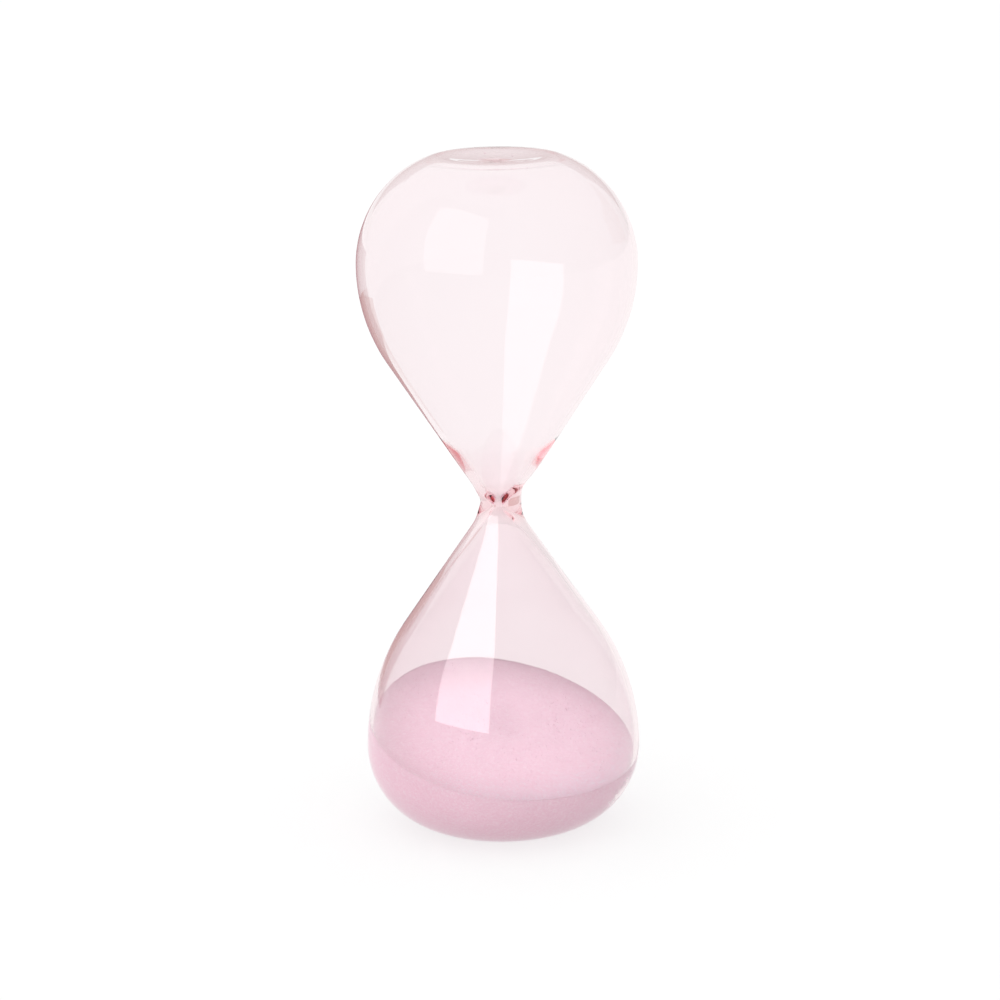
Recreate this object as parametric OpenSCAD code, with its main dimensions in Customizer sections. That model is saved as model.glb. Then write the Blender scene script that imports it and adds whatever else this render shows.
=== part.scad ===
// Frameless hourglass: two blown glass bulbs fused to a thick-walled throat, closed by a
// fused seal button, with a bed of loose sand lying in the lower bulb.
// It stands on its lower foot at z = 0, and +Z runs up the axis of revolution.

/* [Bulbs] */
// Largest diameter of both bulbs
bulb_d = 61; // [56:0.5:66]
// Glass wall thickness of the bulbs
wall = 1; // [0.8:0.1:1.6]
// Distance from the throat to the widest ring of the upper bulb
upper_belly = 53.5; // [51:0.5:56]
// Distance from the throat to the widest ring of the lower bulb
lower_belly = 55; // [53:0.5:57]
// Radius of the long arc between cone and widest ring, upper bulb
upper_flank_r = 38.5; // [36:0.5:42]
// Radius of the long arc between cone and widest ring, lower bulb
lower_flank_r = 48; // [44:0.5:52]
// Radius of the arc from the widest ring towards the end, upper bulb
upper_shoulder_r = 25; // [23:0.5:26]
// Radius of the arc from the widest ring towards the end, lower bulb
lower_shoulder_r = 18.3; // [17.5:0.1:20]

/* [Ends] */
// Radius of the flat ring that the upper end stands on when the timer is turned over
upper_foot_r = 13.4; // [12.5:0.1:14]
// Radius of the flat ring that the lower end stands on
lower_foot_r = 15; // [14:0.1:15.5]
// Rounding of the upper end's edge
upper_heel_r = 3; // [2.6:0.2:5]
// Rounding of the lower end's edge
lower_heel_r = 8; // [6:0.5:9]
// Radius of the shallow hollow in each end
punt_r = 11; // [9:0.5:12]
// Depth of that hollow
punt_depth = 0.8; // [0.5:0.1:1.2]

/* [Throat] */
// Outer radius of the waist
waist_r = 4.7; // [4:0.1:5.5]
// Radius of the waist's outer curve
waist_fillet = 8.6; // [6:0.2:11]
// Radius of the hole that the sand runs through
orifice_r = 0.7; // [0.5:0.05:1]
// Rounding of the hole's two mouths
orifice_fillet = 1.2; // [0.8:0.1:2]
// Half the length of the thick-walled throat section
throat_half = 15; // [13:0.5:17]
// How much thicker the throat's wall is than the bulbs' wall
throat_gather = 1.1; // [0.5:0.1:1.2]
// Length over which the throat's wall reaches that thickness
gather_length = 6; // [4:0.5:8]

/* [Seal] */
// Radius of the fill hole and of the button that closes it
seal_r = 2.5; // [2:0.1:3]
// How far the button domes into the hollow, and into the bulb
seal_crown = 0.35; // [0.2:0.05:0.5]

/* [Sand] */
// Height of the sand's surface on the axis, above the foot
sand_height = 21.8; // [16:0.1:24]
// Slope of the sand's surface, in degrees
sand_slope = 15.7; // [0:0.1:18]
// Direction of its high side, in degrees from +X towards +Y
sand_high_side = 121; // [0:1:359]
// Radius of the surface's gentle crown, across the slope
sand_crown_r = 350; // [250:10:600]
// Radius of a grain left clinging to the glass
grain_r = 0.28; // [0.2:0.02:0.35]

/* [Hidden] */
$fn = 96;

glass_pink = [0.98, 0.9, 0.93, 0.4];
throat_pink = [0.95, 0.78, 0.83, 0.6];
sand_pink = [0.94, 0.76, 0.83];

bulb_r = bulb_d / 2;
punt_cap_r = (punt_r * punt_r + punt_depth * punt_depth) / (2 * punt_depth);
sand_gap = 0.15; // between the sand and the glass, so that the sand is free to turn

// Each bulb is [distance to widest ring, flank arc, shoulder arc, foot radius, heel rounding].
upper = [upper_belly, upper_flank_r, upper_shoulder_r, upper_foot_r, upper_heel_r];
lower = [lower_belly, lower_flank_r, lower_shoulder_r, lower_foot_r, lower_heel_r];

function arc(centre, r, a0, a1, steps) =
    [for (i = [0:steps]) let (a = a0 + (a1 - a0) * i / steps) centre + r * [cos(a), sin(a)]];

// Angle between the cone and the axis: the line touches the waist's arc and the flank's arc.
function cone_angle(b) =
    let (across = waist_r + waist_fillet + b[1] - bulb_r)
    atan2(b[0], across) - acos((b[1] + waist_fillet) / norm([across, b[0]]));

// Distance from the throat to the plane of the foot.
function end_distance(b) =
    b[0] + b[4] + sqrt(pow(b[2] - b[4], 2) - pow(b[3] - bulb_r + b[2], 2));

// Radius of the cone's outer face at a distance d from the throat.
function cone_radius(b, d) =
    let (a = cone_angle(b))
    waist_r + waist_fillet * (1 - cos(a)) + (d - waist_fillet * sin(a)) * tan(a);

// The same on the inner face of a wall t thick.
function bore_radius(b, d, t) = cone_radius(b, d) - t / cos(cone_angle(b));

// Outline from widest ring to axis: shoulder, heel, foot and hollow, all moved inwards by t.
function end_outline(b, t) =
    let (
        end = end_distance(b),
        shoulder = [bulb_r - b[2], b[0]],
        heel = [b[3], end - b[4]],
        turn = atan2(heel[1] - shoulder[1], heel[0] - shoulder[0]),
        cap = [0, end - punt_depth + punt_cap_r],
        half = asin(punt_r / punt_cap_r)
    )
    concat(
        arc(shoulder, b[2] - t, 0, turn, 20),
        arc(heel, b[4] - t, turn, 90, 8),
        [for (p = arc(cap, punt_cap_r, -90 + half, -90, 6)) p - [0, t]]
    );

// Outline from a distance start on the cone to the widest ring, moved inwards by t.
function flank_outline(b, t, start) =
    concat([[bore_radius(b, start, t), start]],
           arc([bulb_r - b[1], b[0]], b[1] - t, -cone_angle(b), 0, 24));

function bulb_outline(b, t, start) = concat(flank_outline(b, t, start), end_outline(b, t));

// Half outline of the throat's outer face, from the waist to the joint with a bulb.
function waist_outline(b) =
    concat(arc([waist_r + waist_fillet, 0], waist_fillet, 180, 180 - cone_angle(b), 10),
           [[cone_radius(b, throat_half), throat_half]]);

// Half outline of the throat's bore: rounded hole, cone, gathered glass, then the bulb's wall.
function orifice_outline(b) =
    let (
        mouth = throat_half - gather_length,
        wide = [bore_radius(b, mouth, wall + throat_gather), mouth],
        hole = [orifice_r + orifice_fillet, 0],
        reach = norm(wide - hole),
        touch = atan2(wide[1], wide[0] - hole[0]) + acos(orifice_fillet / reach)
    )
    concat(arc(hole, orifice_fillet, 180, touch, 5),
           [wide, [bore_radius(b, throat_half, wall), throat_half]]);

// Height of the hollow's surface above its deepest point, at a radius r.
function punt_rise(r) = punt_cap_r - sqrt(punt_cap_r * punt_cap_r - r * r);

function below(points) = [for (p = points) [p[0], -p[1]]];
function reversed(points) = [for (i = [len(points) - 1:-1:0]) points[i]];

throat_z = end_distance(lower);
top_z = throat_z + end_distance(upper);

// A blown shell, its throat at the origin and its end pointing up.
module blown_bulb(b) {
    outer = bulb_outline(b, 0, throat_half);
    inner = bulb_outline(b, wall, throat_half);
    rotate_extrude() polygon(concat(outer, reversed(inner)));
}

module lower_bulb() {
    color(glass_pink) translate([0, 0, throat_z]) mirror([0, 0, 1]) blown_bulb(lower);
}

// The upper bulb has the fill hole through its end.
module upper_bulb() {
    color(glass_pink) translate([0, 0, throat_z]) difference() {
        blown_bulb(upper);
        translate([0, 0, end_distance(upper) - 2 * wall]) cylinder(r = seal_r, h = 3 * wall);
    }
}

module throat() {
    outer = concat(reversed(below(waist_outline(lower))), waist_outline(upper));
    inner = concat(reversed(below(orifice_outline(lower))), orifice_outline(upper));
    color(throat_pink) translate([0, 0, throat_z])
        rotate_extrude() polygon(concat(outer, reversed(inner)));
}

// The fused button fills the hole and domes a little on both sides.
module fill_seal() {
    cap_r = (seal_r * seal_r + seal_crown * seal_crown) / (2 * seal_crown);
    half = asin(seal_r / cap_r);
    outside = arc([0, seal_crown - cap_r], cap_r, 90 - half, 90, 6);
    inside = [for (p = outside) [p[0], -wall - p[1]]];
    color(throat_pink) translate([0, 0, top_z - punt_depth + punt_rise(seal_r)])
        rotate_extrude() polygon(concat(outside, reversed(inside)));
}

// Grains held to the inner face of the top end by static, scattered round the seal.
module clinging_grains() {
    grains = 7;
    golden_angle = 137.5;
    first_r = 3.4;
    step = 0.9;
    color(sand_pink)
        for (i = [0:grains - 1])
            let (r = first_r + step * i)
            rotate([0, 0, golden_angle * i])
                translate([r, 0, top_z - punt_depth + punt_rise(r) - wall - grain_r])
                    sphere(r = grain_r, $fn = 24);
}

// Loose sand: it takes the glass's inner shape below a sloping surface, crowned across the slope.
module sand_bed() {
    outline = bulb_outline(lower, wall + sand_gap, throat_half);
    color(sand_pink) intersection() {
        translate([0, 0, throat_z]) mirror([0, 0, 1])
            rotate_extrude() polygon(concat([[0, throat_half]], outline));
        translate([0, 0, sand_height]) rotate([0, 0, sand_high_side])
            rotate([0, 90 - sand_slope, 0]) translate([sand_crown_r, 0, 0])
                cylinder(r = sand_crown_r, h = 4 * bulb_r, center = true, $fn = 720);
    }
}

lower_bulb();
upper_bulb();
throat();
fill_seal();
clinging_grains();
sand_bed();
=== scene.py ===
"""Frameless hourglass in pale pink blown glass, with pink sand lying aslant in its lower bulb."""

import math
import random

import bmesh
import bpy
import numpy as np
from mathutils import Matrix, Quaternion, Vector, noise


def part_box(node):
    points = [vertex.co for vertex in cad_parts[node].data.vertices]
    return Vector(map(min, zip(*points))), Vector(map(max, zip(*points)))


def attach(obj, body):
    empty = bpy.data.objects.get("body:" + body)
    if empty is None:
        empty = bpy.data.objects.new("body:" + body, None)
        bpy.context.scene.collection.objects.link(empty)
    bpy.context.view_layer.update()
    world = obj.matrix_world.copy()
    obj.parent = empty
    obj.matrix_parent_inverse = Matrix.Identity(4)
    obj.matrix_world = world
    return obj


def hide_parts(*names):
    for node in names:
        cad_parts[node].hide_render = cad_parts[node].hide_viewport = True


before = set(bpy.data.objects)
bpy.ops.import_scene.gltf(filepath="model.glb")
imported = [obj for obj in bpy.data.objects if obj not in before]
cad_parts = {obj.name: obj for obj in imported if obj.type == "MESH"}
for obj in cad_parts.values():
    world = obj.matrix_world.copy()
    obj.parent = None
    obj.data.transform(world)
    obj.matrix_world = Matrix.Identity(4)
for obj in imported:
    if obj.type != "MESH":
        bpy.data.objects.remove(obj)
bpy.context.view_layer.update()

MM = 0.001

# ---------------------------------------------------------------- sizes taken from the frame
LOWER_JOINT_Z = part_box("lower_bulb")[1].z
UPPER_JOINT_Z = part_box("upper_bulb")[0].z
BULB_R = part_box("lower_bulb")[1].x
TOP_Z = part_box("upper_bulb")[1].z
THROAT_HALF = (UPPER_JOINT_Z - LOWER_JOINT_Z) / 2
THROAT_Z = (UPPER_JOINT_Z + LOWER_JOINT_Z) / 2
SEAL_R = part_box("fill_seal")[1].x

# ---------------------------------------------------------------- the glass's own sizes, as in CAD
WALL = 1.0 * MM
WAIST_R = 4.7 * MM
WAIST_FILLET = 8.6 * MM
ORIFICE_R = 0.7 * MM
ORIFICE_FILLET = 1.2 * MM
PUNT_R = 11 * MM
PUNT_DEPTH = 0.8 * MM
SEAL_CROWN = 0.35 * MM
# Each bulb: the widest ring's distance from the waist, its two arcs, the foot ring and its edge,
# how much thicker the throat's glass is, and over what length.
UPPER = {"belly": 53.5 * MM, "flank": 38.5 * MM, "shoulder": 25 * MM, "foot": 13.4 * MM, "heel": 3 * MM,
         "gather": 0.6 * MM, "drawn": 7 * MM}
LOWER = {"belly": 55 * MM, "flank": 48 * MM, "shoulder": 18.3 * MM, "foot": 15 * MM, "heel": 8 * MM,
         "gather": 0.6 * MM, "drawn": 12 * MM}
# The bore's sideways wander at the waist: how far, and over what height.
BORE_SWAY, SWAY_REACH = -0.3 * MM, 4 * MM
# Dents by the waist: direction round the axis, height above the waist, depth, reach. The bore
# follows them only in part.
DENTS = [(180, 0.7 * MM, 0.5 * MM, 1.5 * MM), (0, 4.2 * MM, 0.55 * MM, 2.4 * MM)]
BORE_DENT_SHARE = 0.25
# Hand-blown waviness: size of the waves, their depth, their place in the noise, and how much
# slower they change along the axis. It fades in over these distances from the feet and the axis.
WAVE_REACH, WAVE_DEPTH, WAVE_PLACE, WAVE_ALONG = 34 * MM, 0.22 * MM, (3.1, 7.13, -3.1), 0.6
WAVE_FROM_FOOT, WAVE_FROM_AXIS = 9 * MM, 8 * MM
# Fire-polish: the reach over which the flame rounded the corners of each face.
OUTER_POLISH, INNER_POLISH = 0.5 * MM, 0.9 * MM

# ---------------------------------------------------------------- the sand's surface, as in CAD
SAND_HEIGHT = 21.8 * MM
SAND_SLOPE = math.radians(15.7)
SAND_HIGH_SIDE = math.radians(121)
SAND_CROWN_R = 350 * MM

# ---------------------------------------------------------------- the sand's texture
GRAIN_SIZE = 0.3 * MM
# How far grains stand out of the top, and out of the side, where the glass holds them flat.
GRAIN_ROUGH = 0.035 * MM
SIDE_ROUGH = GRAIN_ROUGH / 3
# The side is pressed this far into the glass's inner face, so that no air gap shows.
SAND_PRESS = 0.03 * MM
# Low humps: their height, their size, and how far from the glass they fade out.
SAND_DRIFT, DRIFT_REACH, DRIFT_FADE = 0.25 * MM, 11 * MM, 4 * MM
# The columns of the mesh meet in the middle, so the roughness fades out within this radius.
MIDDLE_FADE = 3 * MM
LOOSE_GRAINS, LOOSE_RAISE = 1300, 0.06 * MM
SPECK_R = 0.26 * MM

# ---------------------------------------------------------------- mesh density
GLASS_STEP, GLASS_COLUMNS = 0.8 * MM, 168
SAND_COLUMNS, SAND_SIDE_ROWS, SAND_TOP_ROWS = 420, 90, 110
SAND_ROW_STEP = 0.1 * MM


# ---------------------------------------------------------------- outlines
def arc(centre, radius, start, end, steps):
    """Points of an arc, angles in radians, as an array of (r, z)."""
    turn = np.linspace(start, end, steps + 1)
    return np.stack([centre[0] + radius * np.cos(turn), centre[1] + radius * np.sin(turn)], 1)


def cone_angle(bulb):
    """Angle between cone and axis: the line touches the waist's arc and the flank's arc."""
    across = WAIST_R + WAIST_FILLET + bulb["flank"] - BULB_R
    reach = math.hypot(across, bulb["belly"])
    return math.atan2(bulb["belly"], across) - math.acos((bulb["flank"] + WAIST_FILLET) / reach)


def end_distance(bulb):
    """Distance from the waist to the plane that the bulb stands on."""
    run = bulb["foot"] - BULB_R + bulb["shoulder"]
    return bulb["belly"] + bulb["heel"] + math.sqrt((bulb["shoulder"] - bulb["heel"]) ** 2 - run ** 2)


def cone_radius(bulb, distance, wall=0.0):
    """Radius of the cone's face, a wall's thickness inside the outer face."""
    angle = cone_angle(bulb)
    start = WAIST_R + WAIST_FILLET * (1 - math.cos(angle))
    rise = (distance - WAIST_FILLET * math.sin(angle)) * math.tan(angle)
    return start + rise - wall / math.cos(angle)


def bulb_outline(bulb, inset):
    """From the cone's end, over the widest ring, to the middle of the foot, inset from the face."""
    end = end_distance(bulb)
    shoulder = (BULB_R - bulb["shoulder"], bulb["belly"])
    heel = (bulb["foot"], end - bulb["heel"])
    turn = math.atan2(heel[1] - shoulder[1], heel[0] - shoulder[0])
    cap_r = (PUNT_R ** 2 + PUNT_DEPTH ** 2) / (2 * PUNT_DEPTH)
    half = math.asin(PUNT_R / cap_r)
    flank = arc((BULB_R - bulb["flank"], bulb["belly"]), bulb["flank"] - inset, -cone_angle(bulb), 0, 40)
    over = arc(shoulder, bulb["shoulder"] - inset, 0, turn, 30)
    round_heel = arc(heel, bulb["heel"] - inset, turn, math.pi / 2, 16)
    punt = arc((0, end - PUNT_DEPTH + cap_r), cap_r, half - math.pi / 2, -math.pi / 2, 16) - (0, inset)
    return np.concatenate([flank, over[1:], round_heel[1:], punt])


def outer_half(bulb):
    """Outer face from the waist to the middle of the foot."""
    waist = arc((WAIST_R + WAIST_FILLET, 0), WAIST_FILLET, math.pi, math.pi - cone_angle(bulb), 16)
    return np.concatenate([waist, bulb_outline(bulb, 0)])


def inner_half(bulb):
    """The bore: rounded hole, gathered glass, then the blown wall."""
    mouth = THROAT_HALF - bulb["drawn"]
    wide = (cone_radius(bulb, mouth, WALL + bulb["gather"]), mouth)
    hole = (ORIFICE_R + ORIFICE_FILLET, 0)
    reach = math.hypot(wide[0] - hole[0], wide[1])
    touch = math.atan2(wide[1], wide[0] - hole[0]) + math.acos(ORIFICE_FILLET / reach)
    lip = arc(hole, ORIFICE_FILLET, math.pi, touch, 10)
    joint = (cone_radius(bulb, THROAT_HALF, WALL), THROAT_HALF)
    return np.concatenate([lip, [wide, joint], bulb_outline(bulb, WALL)])


def whole(half):
    """Lower foot, through the throat, to the upper foot: (r, z) with z measured from the floor."""
    low, high = half(LOWER), half(UPPER)
    low = low[::-1] * (1, -1) + (0, THROAT_Z)
    high = high[1:] + (0, THROAT_Z)
    return np.concatenate([low, high])


def even(points, step):
    """The same outline with its points an even step apart."""
    along = np.concatenate([[0], np.cumsum(np.hypot(*np.diff(points, axis=0).T))])
    at = np.linspace(0, along[-1], int(along[-1] / step) + 1)
    return np.stack([np.interp(at, along, points[:, 0]), np.interp(at, along, points[:, 1])], 1)


def soften(points, step, reach):
    """Fire-polishes an even outline: a Gaussian of that reach rounds its corners."""
    span = int(3 * reach / step)
    weight = np.exp(-0.5 * (np.arange(-span, span + 1) * step / reach) ** 2)
    weight /= weight.sum()
    mirrored = np.concatenate([
        points[1:span + 1][::-1] * (-1, 1), points, points[-span - 1:-1][::-1] * (-1, 1)])
    smooth = np.stack([np.convolve(mirrored[:, k], weight, "valid") for k in (0, 1)], 1)
    smooth[0, 0] = smooth[-1, 0] = 0
    return smooth


# ---------------------------------------------------------------- meshes
def new_object(name, vertices, faces, material):
    mesh = bpy.data.meshes.new(name)
    mesh.from_pydata([tuple(v) for v in vertices], [], [tuple(f) for f in faces])
    mesh.validate()
    mesh.shade_smooth()
    mesh.materials.append(material)
    piece = bpy.data.objects.new(name, mesh)
    bpy.context.scene.collection.objects.link(piece)
    return piece


def revolve(rows, columns, inward=False):
    """Vertices and faces of a closed skin: rows is (r, z) from one pole to the other."""
    turn = np.linspace(0, 2 * math.pi, columns, endpoint=False)
    ring = rows[1:-1]
    x = ring[:, 0, None] * np.cos(turn)
    y = ring[:, 0, None] * np.sin(turn)
    z = np.repeat(ring[:, 1, None], columns, 1)
    body = np.stack([x, y, z], 2).reshape(-1, 3)
    vertices = np.concatenate([[[0, 0, rows[0, 1]]], body, [[0, 0, rows[-1, 1]]]])
    last = len(vertices) - 1
    faces = []
    for c in range(columns):
        d = (c + 1) % columns
        faces.append((0, 1 + d, 1 + c))
        top = 1 + (len(ring) - 1) * columns
        faces.append((last, top + c, top + d))
        for k in range(len(ring) - 1):
            a = 1 + k * columns
            faces.append((a + c, a + d, a + columns + d, a + columns + c))
    if inward:
        faces = [f[::-1] for f in faces]
    return vertices, faces


def blow(vertices):
    """Moves a skin in and out a little, as hand-blown glass is, but leaves both feet true."""
    shift = Vector(WAVE_PLACE)
    moved = vertices.copy()
    for k, (x, y, z) in enumerate(vertices):
        foot = min(z, TOP_Z - z) / WAVE_FROM_FOOT
        keep = min(max(foot, 0), 1) ** 2
        wave = noise.noise(Vector((x, y, WAVE_ALONG * z)) / WAVE_REACH + shift)
        radius = math.hypot(x, y)
        if radius > 0:
            fade = min(radius / WAVE_FROM_AXIS, 1)
            moved[k, 0] += x / radius * wave * WAVE_DEPTH * keep * fade
            moved[k, 1] += y / radius * wave * WAVE_DEPTH * keep * fade
    return moved


def sway(vertices):
    """The bore wanders off the axis a little, so the wall is thicker on one side of the waist."""
    moved = vertices.copy()
    moved[:, 0] += BORE_SWAY * np.exp(-((vertices[:, 2] - THROAT_Z) / SWAY_REACH) ** 2)
    return moved


def dent(vertices, share):
    """The waist was nipped in by hand, a little unevenly; the bore follows by that share."""
    moved = vertices.copy()
    for k, (x, y, z) in enumerate(vertices):
        radius = math.hypot(x, y)
        for angle, height, depth, reach in DENTS:
            if radius > 0 and abs(z - THROAT_Z - height) < 3 * reach:
                facing = max(math.cos(math.atan2(y, x) - math.radians(angle)), 0) ** 2
                push = depth * share * facing * math.exp(-((z - THROAT_Z - height) / reach) ** 2)
                moved[k, 0] -= x / radius * push
                moved[k, 1] -= y / radius * push
    return moved


# ---------------------------------------------------------------- materials
def shader(name):
    """A new material, with its nodes, its links and its main shader."""
    material = bpy.data.materials.new(name)
    material.use_nodes = True
    nodes = material.node_tree.nodes
    return material, nodes, material.node_tree.links, nodes["Principled BSDF"]


def calculate(nodes, links, operation, first, second):
    """A maths node; each input is a number or another node's output."""
    step = nodes.new("ShaderNodeMath")
    step.operation = operation
    for socket, value in zip(step.inputs, (first, second)):
        if isinstance(value, bpy.types.NodeSocket):
            links.new(value, socket)
        else:
            socket.default_value = value
    return step.outputs[0]


def remap(nodes, links, value, source, target=(0, 1)):
    """Maps a value from one range to another, and holds it within."""
    node = nodes.new("ShaderNodeMapRange")
    node.inputs["From Min"].default_value, node.inputs["From Max"].default_value = source
    node.inputs["To Min"].default_value, node.inputs["To Max"].default_value = target
    links.new(value, node.inputs["Value"])
    return node


def noise_pattern(nodes, links, place, scale, detail):
    """Soft noise over the piece, between 0 and 1."""
    node = nodes.new("ShaderNodeTexNoise")
    node.inputs["Scale"].default_value = scale
    node.inputs["Detail"].default_value = detail
    links.new(place.outputs["Object"], node.inputs["Vector"])
    return node.outputs["Fac"]


def pink_glass():
    """Clear glass, pinker where light crosses more of it; its tint is darker and pinker below the
    throat, more so on the left, in soft patches.
    """
    material, nodes, links, bsdf = shader("pink_blown_glass")
    place = nodes.new("ShaderNodeTexCoord")
    split = nodes.new("ShaderNodeSeparateXYZ")
    links.new(place.outputs["Object"], split.inputs["Vector"])
    # The tint grows darker and pinker from just above the throat downwards, and towards the left side,
    # in soft patches.
    untinted_above, tinted_below = THROAT_Z + 6 * MM, THROAT_Z - 14 * MM
    height = remap(nodes, links, split.outputs["Z"], (untinted_above, tinted_below))
    height.interpolation_type = "SMOOTHSTEP"
    right, left = 0.8 * BULB_R, -0.8 * BULB_R
    side = remap(nodes, links, split.outputs["X"], (right, left), (0.7, 1.5))
    cloud = noise_pattern(nodes, links, place, scale=38.0, detail=2.0)
    patches = remap(nodes, links, cloud, (0.3, 0.7), (0.6, 1))
    lower_tint = calculate(nodes, links, "MULTIPLY", height.outputs["Result"], side.outputs["Result"])
    tint_amount = calculate(nodes, links, "MULTIPLY", lower_tint, patches.outputs["Result"])
    tint = nodes.new("ShaderNodeMix")
    tint.data_type = "RGBA"
    tint.clamp_factor = False
    tint.inputs["A"].default_value = (0.984, 0.971, 0.979, 1)
    tint.inputs["B"].default_value = (0.955, 0.915, 0.930, 1)
    links.new(tint_amount, tint.inputs["Factor"])
    links.new(tint.outputs["Result"], bsdf.inputs["Base Color"])
    bsdf.inputs["Transmission Weight"].default_value = 1.0
    bsdf.inputs["Roughness"].default_value = 0.0
    bsdf.inputs["IOR"].default_value = 1.47
    volume = nodes.new("ShaderNodeVolumeAbsorption")
    volume.inputs["Color"].default_value = (0.82, 0.08, 0.14, 1)
    volume.inputs["Density"].default_value = 42.0
    links.new(volume.outputs[0], nodes["Material Output"].inputs["Volume"])
    return material


def painted_sand_light(nodes, links, place):
    """Brightness of the sand, with painted light: its upper face is painted darker towards the high
    side, and lighter lower down and by the glass.
    """
    facing = nodes.new("ShaderNodeNewGeometry")
    parts = nodes.new("ShaderNodeSeparateXYZ")
    links.new(facing.outputs["Normal"], parts.inputs["Vector"])
    top = remap(nodes, links, parts.outputs["Z"], (0.2, 0.8))
    along = nodes.new("ShaderNodeVectorMath")
    along.operation = "DOT_PRODUCT"
    along.inputs[1].default_value = (math.cos(SAND_HIGH_SIDE), math.sin(SAND_HIGH_SIDE), 0)
    links.new(place.outputs["Object"], along.inputs[0])
    # Painted light: the upper face is painted darker towards its high side and lighter towards its low
    # side.
    high_end, low_end = 0.8 * BULB_R, -0.9 * BULB_R
    slope = remap(nodes, links, along.outputs["Value"], (high_end, low_end), (-0.15, 0.06))
    # Painted light: a lighter ring is painted on the upper face next to the glass.
    reach = nodes.new("ShaderNodeVectorMath")
    reach.operation = "LENGTH"
    links.new(place.outputs["Object"], reach.inputs[0])
    rim = remap(nodes, links, reach.outputs["Value"], (0.6 * BULB_R, BULB_R), (0, 0.09))
    painted_light = calculate(nodes, links, "ADD", slope.outputs["Result"], rim.outputs["Result"])
    painted_light = calculate(nodes, links, "MULTIPLY", top.outputs["Result"], painted_light)
    base_brightness = 0.99
    return calculate(nodes, links, "ADD", painted_light, base_brightness)


def pink_sand():
    """Dyed grains: each cell of the pattern is a grain with its own shade, over slow mottling."""
    material, nodes, links, bsdf = shader("pink_sand")
    place = nodes.new("ShaderNodeTexCoord")
    grains = nodes.new("ShaderNodeTexVoronoi")
    grains.inputs["Scale"].default_value = 1 / GRAIN_SIZE
    links.new(place.outputs["Object"], grains.inputs["Vector"])
    shade = nodes.new("ShaderNodeSeparateColor")
    links.new(grains.outputs["Color"], shade.inputs["Color"])
    tint = nodes.new("ShaderNodeValToRGB")
    stops = [(0.0, (0.88, 0.66, 0.76, 1)), (0.5, (0.90, 0.70, 0.80, 1)),
             (0.85, (0.91, 0.73, 0.82, 1)), (1.0, (0.92, 0.79, 0.86, 1))]
    while len(tint.color_ramp.elements) < len(stops):
        tint.color_ramp.elements.new(0.5)
    for element, (position, colour) in zip(tint.color_ramp.elements, stops):
        element.position = position
        element.color = colour
    links.new(shade.outputs["Red"], tint.inputs["Fac"])
    cloud = noise_pattern(nodes, links, place, scale=160.0, detail=3.0)
    mottle = remap(nodes, links, cloud, (0, 1), (0.97, 1.03))
    # Painted light on the sand's upper face: lighter lower down and by the glass, darker towards the
    # high side.
    pale = painted_sand_light(nodes, links, place)
    brightness = calculate(nodes, links, "MULTIPLY", mottle.outputs["Result"], pale)
    mixed = nodes.new("ShaderNodeVectorMath")
    mixed.operation = "SCALE"
    links.new(tint.outputs["Color"], mixed.inputs[0])
    links.new(brightness, mixed.inputs["Scale"])
    limit = nodes.new("ShaderNodeVectorMath")
    limit.operation = "MINIMUM"
    whitest = (0.97, 0.97, 0.97)
    limit.inputs[1].default_value = whitest
    links.new(mixed.outputs["Vector"], limit.inputs[0])
    links.new(limit.outputs["Vector"], bsdf.inputs["Base Color"])
    bump = nodes.new("ShaderNodeBump")
    bump.inputs["Distance"].default_value = 0.25 * GRAIN_SIZE
    bump.inputs["Strength"].default_value = 0.5
    links.new(grains.outputs["Distance"], bump.inputs["Height"])
    links.new(bump.outputs["Normal"], bsdf.inputs["Normal"])
    bsdf.inputs["Roughness"].default_value = 0.8
    return material


# ---------------------------------------------------------------- the pieces
def button(rows, way):
    """The fused button domes a little out of the hollow, and into the bulb."""
    rows = rows.copy()
    near = (rows[:, 0] < SEAL_R) & (rows[:, 1] > UPPER_JOINT_Z)
    rows[near, 1] += way * SEAL_CROWN * (1 - (rows[near, 0] / SEAL_R) ** 2)
    return rows


def outer_profile():
    """The whole outer face, from foot to foot, fire-polished."""
    return soften(button(even(whole(outer_half), GLASS_STEP), 1), GLASS_STEP, OUTER_POLISH)


def inner_profile():
    """The bore's outline, with the start of the throat's thicker glass drawn out smoothly."""
    return soften(button(even(whole(inner_half), GLASS_STEP), -1), GLASS_STEP, INNER_POLISH)


def make_glass(material):
    """One closed piece of fused glass: its outer skin, and its bore as an inward-facing skin."""
    skin, faces = revolve(outer_profile(), GLASS_COLUMNS)
    skin = dent(blow(skin), 1)
    bore, more = revolve(inner_profile(), GLASS_COLUMNS, inward=True)
    bore = sway(dent(blow(bore), BORE_DENT_SHARE))
    offset = len(skin)
    faces += [tuple(i + offset for i in f) for f in more]
    piece = new_object("blown_glass", np.concatenate([skin, bore]), faces, material)
    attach(piece, "glass")
    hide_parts("lower_bulb", "upper_bulb", "throat", "fill_seal")


def sand_level(x, y):
    """Height of the sand's sloping surface, which is gently crowned across the slope."""
    across = y * math.cos(SAND_HIGH_SIDE) - x * math.sin(SAND_HIGH_SIDE)
    along = x * math.cos(SAND_HIGH_SIDE) + y * math.sin(SAND_HIGH_SIDE)
    sag = SAND_CROWN_R - math.sqrt(SAND_CROWN_R ** 2 - across ** 2)
    return SAND_HEIGHT + (along * math.sin(SAND_SLOPE) - sag) / math.cos(SAND_SLOPE)


def drift(x, y):
    """Low humps left on the sand's surface."""
    return noise.noise(Vector((x, y, 0)) / DRIFT_REACH) * SAND_DRIFT


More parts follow.
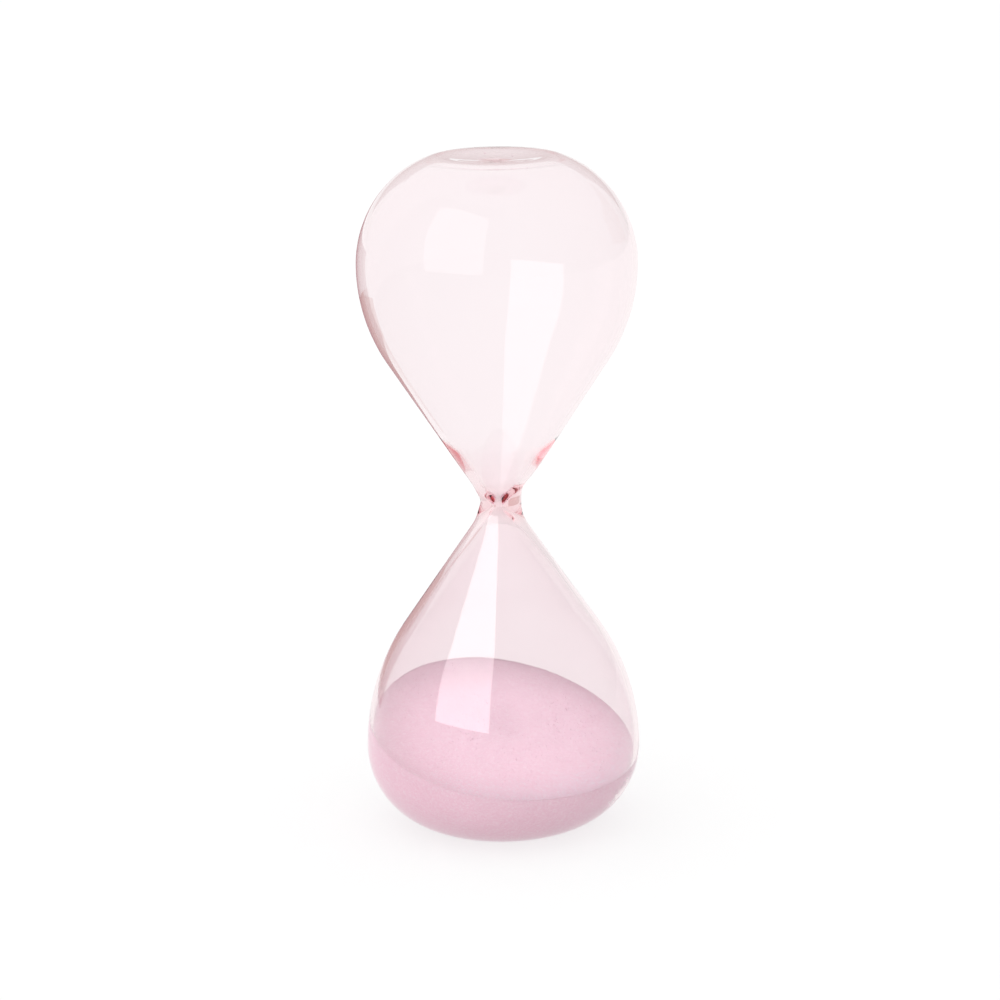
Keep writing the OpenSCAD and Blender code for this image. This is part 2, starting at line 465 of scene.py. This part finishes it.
def make_sand(material):
    """A bed of sand: its side takes the glass's inner outline, and both faces are rough with grains."""
    rows = even(inner_profile(), SAND_ROW_STEP)
    well_above_sand = 0.75 * LOWER_JOINT_Z
    rows = rows[:np.argmax(rows[:, 1] > well_above_sand)]
    slope = np.gradient(rows, axis=0)
    slope /= np.hypot(slope[:, 0], slope[:, 1])[:, None]
    rows = rows + np.stack([slope[:, 1], -slope[:, 0]], 1) * SAND_PRESS
    rows[0, 0] = 0
    random_grain = np.random.default_rng(11)
    vertices = [(0, 0, rows[0, 1])]
    for c in range(SAND_COLUMNS):
        angle = 2 * math.pi * c / SAND_COLUMNS
        cos, sin = math.cos(angle), math.sin(angle)
        above = [z > sand_level(r * cos, r * sin) and r > BULB_R / 2 for r, z in rows]
        contact = above.index(True)
        for k in range(1, SAND_SIDE_ROWS + 1):
            at = contact * k / SAND_SIDE_ROWS
            r = np.interp(at, range(len(rows)), rows[:, 0])
            z = np.interp(at, range(len(rows)), rows[:, 1])
            r -= abs(random_grain.normal(0, SIDE_ROUGH))
            vertices.append((r * cos, r * sin, z))
        edge = rows[contact, 0]
        for k in range(1, SAND_TOP_ROWS):
            r = edge * (1 - k / SAND_TOP_ROWS)
            x, y = r * cos, r * sin
            from_glass = min((edge - r) / DRIFT_FADE, 1)
            from_middle = min(r / MIDDLE_FADE, 1)
            grain = random_grain.normal(0, GRAIN_ROUGH) * from_middle
            vertices.append((x, y, sand_level(x, y) + drift(x, y) * from_glass + grain))
    vertices.append((0, 0, sand_level(0, 0) + drift(0, 0)))
    rings = SAND_SIDE_ROWS + SAND_TOP_ROWS - 1
    last = len(vertices) - 1
    faces = []
    for c in range(SAND_COLUMNS):
        a, b = 1 + c * rings, 1 + (c + 1) % SAND_COLUMNS * rings
        faces.append((0, b, a))
        faces.append((last, a + rings - 1, b + rings - 1))
        faces += [(a + k, b + k, b + k + 1, a + k + 1) for k in range(rings - 1)]
    piece = new_object("sand_bed_grains", vertices, faces, material)
    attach(piece, "sand")
    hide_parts("sand_bed")


def lumps(name, centres, sizes, material, seed):
    """Separate grains: each is a small faceted ball, stretched and turned its own way."""
    random_grain = random.Random(seed)
    template = bmesh.new()
    bmesh.ops.create_icosphere(template, subdivisions=1, radius=1)
    template.verts.ensure_lookup_table()
    corners = [v.co.copy() for v in template.verts]
    sides = [[v.index for v in f.verts] for f in template.faces]
    template.free()
    vertices, faces = [], []
    for centre, size in zip(centres, sizes):
        turn = Quaternion([random_grain.gauss(0, 1) for _ in range(4)]).normalized()
        stretch = Vector([random_grain.uniform(0.75, 1.0) for _ in range(3)])
        start = len(vertices)
        for corner in corners:
            reach = size * random_grain.uniform(0.85, 1.0)
            vertices.append(Vector(centre) + turn @ (corner * reach * stretch))
        faces += [[i + start for i in side] for side in sides]
    return new_object(name, vertices, faces, material)


def make_loose_grains(material):
    """Grains lying on top of the bed, so that its surface catches the light one grain at a time."""
    random_grain = random.Random(5)
    clear_of_glass = 0.86 * BULB_R
    centres, sizes = [], []
    for _ in range(LOOSE_GRAINS):
        r = clear_of_glass * math.sqrt(random_grain.random())
        angle = random_grain.uniform(0, 2 * math.pi)
        x, y = r * math.cos(angle), r * math.sin(angle)
        sizes.append(GRAIN_SIZE * random_grain.uniform(0.35, 0.55))
        centres.append((x, y, sand_level(x, y) + LOOSE_RAISE))
    piece = lumps("loose_grains", centres, sizes, material, 6)
    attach(piece, "sand")


def make_clinging_grains(material):
    """Rough grains where the CAD has its round ones: patches of its mesh that share a centre."""
    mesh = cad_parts["clinging_grains"].data
    group = list(range(len(mesh.vertices)))

    def root(i):
        while group[i] != i:
            group[i] = group[group[i]]
            i = group[i]
        return i

    for edge in mesh.edges:
        group[root(edge.vertices[0])] = root(edge.vertices[1])
    clusters = {}
    for v in mesh.vertices:
        clusters.setdefault(root(v.index), []).append(v.co)
    spheres = {}
    for points in clusters.values():
        centre = sum(points, Vector()) / len(points)
        key = tuple(round(c / MM) for c in centre)
        spheres.setdefault(key, []).extend(points)
    centres = [sum(points, Vector()) / len(points) for points in spheres.values()]
    sizes = [SPECK_R] * len(centres)
    piece = lumps("clinging_specks", centres, sizes, material, 9)
    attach(piece, "glass")
    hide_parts("clinging_grains")


# ---------------------------------------------------------------- camera, light and floor
def make_camera():
    """Looks slightly down at the neck, from the photograph's angle."""
    camera = bpy.data.cameras.new("camera")
    camera.sensor_width = 36
    camera.lens = 118.5
    camera.clip_start = 0.01
    eye = bpy.data.objects.new("camera", camera)
    bpy.context.scene.collection.objects.link(eye)
    elevation, distance, roll = math.radians(14.3), 724.5 * MM, math.radians(-0.78)
    above_neck = 0.77 * MM
    neck = Vector((0, 0, THROAT_Z))
    back = Vector((0, -math.cos(elevation), math.sin(elevation)))
    eye.location = neck + back * distance
    aim = neck + Vector((0, 0, above_neck))
    look = (aim - eye.location).to_track_quat("-Z", "Y")
    eye.rotation_mode = "QUATERNION"
    eye.rotation_quaternion = look @ Quaternion((0, 0, 1), roll)
    bpy.context.scene.camera = eye


def around(azimuth, reach, height):
    """A point of the studio: azimuth 0 is the camera's side of the object, positive to its left."""
    turn = math.radians(azimuth)
    return Vector((-math.sin(turn) * reach, -math.cos(turn) * reach, height))


def upright(start, end, reach, bottom, top):
    """Corners of an upright card between two azimuths."""
    return [around(start, reach, bottom), around(end, reach, bottom),
            around(end, reach, top), around(start, reach, top)]


def board(name, corners, colour, strength, glossy=False, transmission=False):
    """A studio board hidden from the camera: glass mirrors it, or passes its light on within."""
    material = bpy.data.materials.new(name)
    material.use_nodes = True
    nodes, links = material.node_tree.nodes, material.node_tree.links
    nodes.remove(nodes["Principled BSDF"])
    glow = nodes.new("ShaderNodeEmission")
    glow.inputs["Color"].default_value = (*colour, 1)
    glow.inputs["Strength"].default_value = strength
    links.new(glow.outputs[0], nodes["Material Output"].inputs["Surface"])
    last = len(corners) - 1
    faces = [(k, k + 1, last - k - 1, last - k) for k in range(len(corners) // 2 - 1)]
    piece = new_object(name, corners, faces, material)
    piece.visible_camera = False
    piece.visible_diffuse = False
    piece.visible_shadow = False
    piece.visible_glossy = glossy
    piece.visible_transmission = transmission


def dome_card():
    """A pale curved card before the upper dome, so that the dome doesn't mirror the window."""
    turns, reach = range(-8, 78, 5), 46 * MM
    low = [around(turn, reach, 129 * MM) for turn in turns]
    high = [around(turn, reach, 205 * MM) for turn in turns]
    board("dome_card", low + high[::-1], (1, 0.99, 0.99), 0.95, glossy=True)


def fill_light(nodes, links, amount):
    """Extra brightness seen only by light that reaches a matt surface through glass."""
    path = nodes.new("ShaderNodeLightPath")
    matt = calculate(nodes, links, "MINIMUM", path.outputs["Diffuse Depth"], 1)
    through = calculate(nodes, links, "MULTIPLY", matt, path.outputs["Is Transmission Ray"])
    return calculate(nodes, links, "MULTIPLY", through, amount)


def make_world():
    """White all round, and a little brighter overhead, to the left and on the camera's side."""
    world = bpy.data.worlds.new("studio")
    world.use_nodes = True
    nodes, links = world.node_tree.nodes, world.node_tree.links
    nodes["Background"].inputs["Color"].default_value = (1, 1, 1, 1)
    place = nodes.new("ShaderNodeTexCoord")
    lean = nodes.new("ShaderNodeVectorMath")
    lean.operation = "DOT_PRODUCT"
    lean.inputs[1].default_value = (-0.10, -0.05, 0.16)
    links.new(place.outputs["Generated"], lean.inputs[0])
    even_light = calculate(nodes, links, "ADD", lean.outputs["Value"], 0.97)
    total = calculate(nodes, links, "ADD", even_light, fill_light(nodes, links, 0.54))
    links.new(total, nodes["Background"].inputs["Strength"])
    bpy.context.scene.world = world


def make_floor():
    """A plain pale floor that gives light of its own, so that the shadow on it stays faint."""
    material, nodes, links, bsdf = shader("floor_white")
    bsdf.inputs["Base Color"].default_value = (0.26, 0.26, 0.26, 1)
    bsdf.inputs["Roughness"].default_value = 0.9
    bsdf.inputs["Specular IOR Level"].default_value = 0
    bsdf.inputs["Emission Color"].default_value = (1, 1, 1, 1)
    glow = calculate(nodes, links, "ADD", fill_light(nodes, links, 0.13), 0.74)
    links.new(glow, bsdf.inputs["Emission Strength"])
    reach = 6.0
    corners = [(-reach, -reach, 0), (reach, -reach, 0), (reach, reach, 0), (-reach, reach, 0)]
    floor = new_object("floor", corners, [(0, 1, 2, 3)], material)


def make_window():
    """A tall window to the camera's left: glass mirrors it, and passes on a weaker copy within."""
    low = [around(12, 0.92, 0.17), around(61, 0.92, 0.17)]
    high = [around(82, 0.5, 0.82), around(10, 0.45, 0.86)]
    apart = 1.01  # the two boards must not lie in one plane
    board("window", low + high, (1, 1, 1), 5.0, glossy=True)
    board("window_through_glass", [c * apart for c in low + high], (1, 1, 1), 2.4, transmission=True)


def make_cards():
    """Darker cards behind the object draw the glass's left edge and the disc at its top."""
    edge_reach, back_reach = 0.24, 0.6
    edge = upright(-172, 128, edge_reach, 0, 0.125)
    board("edge_card", edge, (0.30, 0.09, 0.11), 1, glossy=True)
    within = upright(165, 128, edge_reach, 0, 0.07)
    board("edge_card_within", within, (0.82, 0.69, 0.67), 1, transmission=True)
    back = upright(-150, 150, back_reach, 0.19, 0.42)
    board("back_card", back, (0.62, 0.50, 0.50), 1, glossy=True)


def set_bounces(count):
    """Light that is caught in thick glass bounces many times before it gets out."""
    cycles = bpy.context.scene.cycles
    cycles.max_bounces = count
    cycles.transmission_bounces = count
    cycles.glossy_bounces = count


bpy.context.scene.view_settings.view_transform = "Standard"
set_bounces(32)
make_camera()
make_world()
make_floor()
make_window()
make_cards()
dome_card()
glass = pink_glass()
sand = pink_sand()
make_glass(glass)
make_sand(sand)
make_loose_grains(sand)
make_clinging_grains(sand)
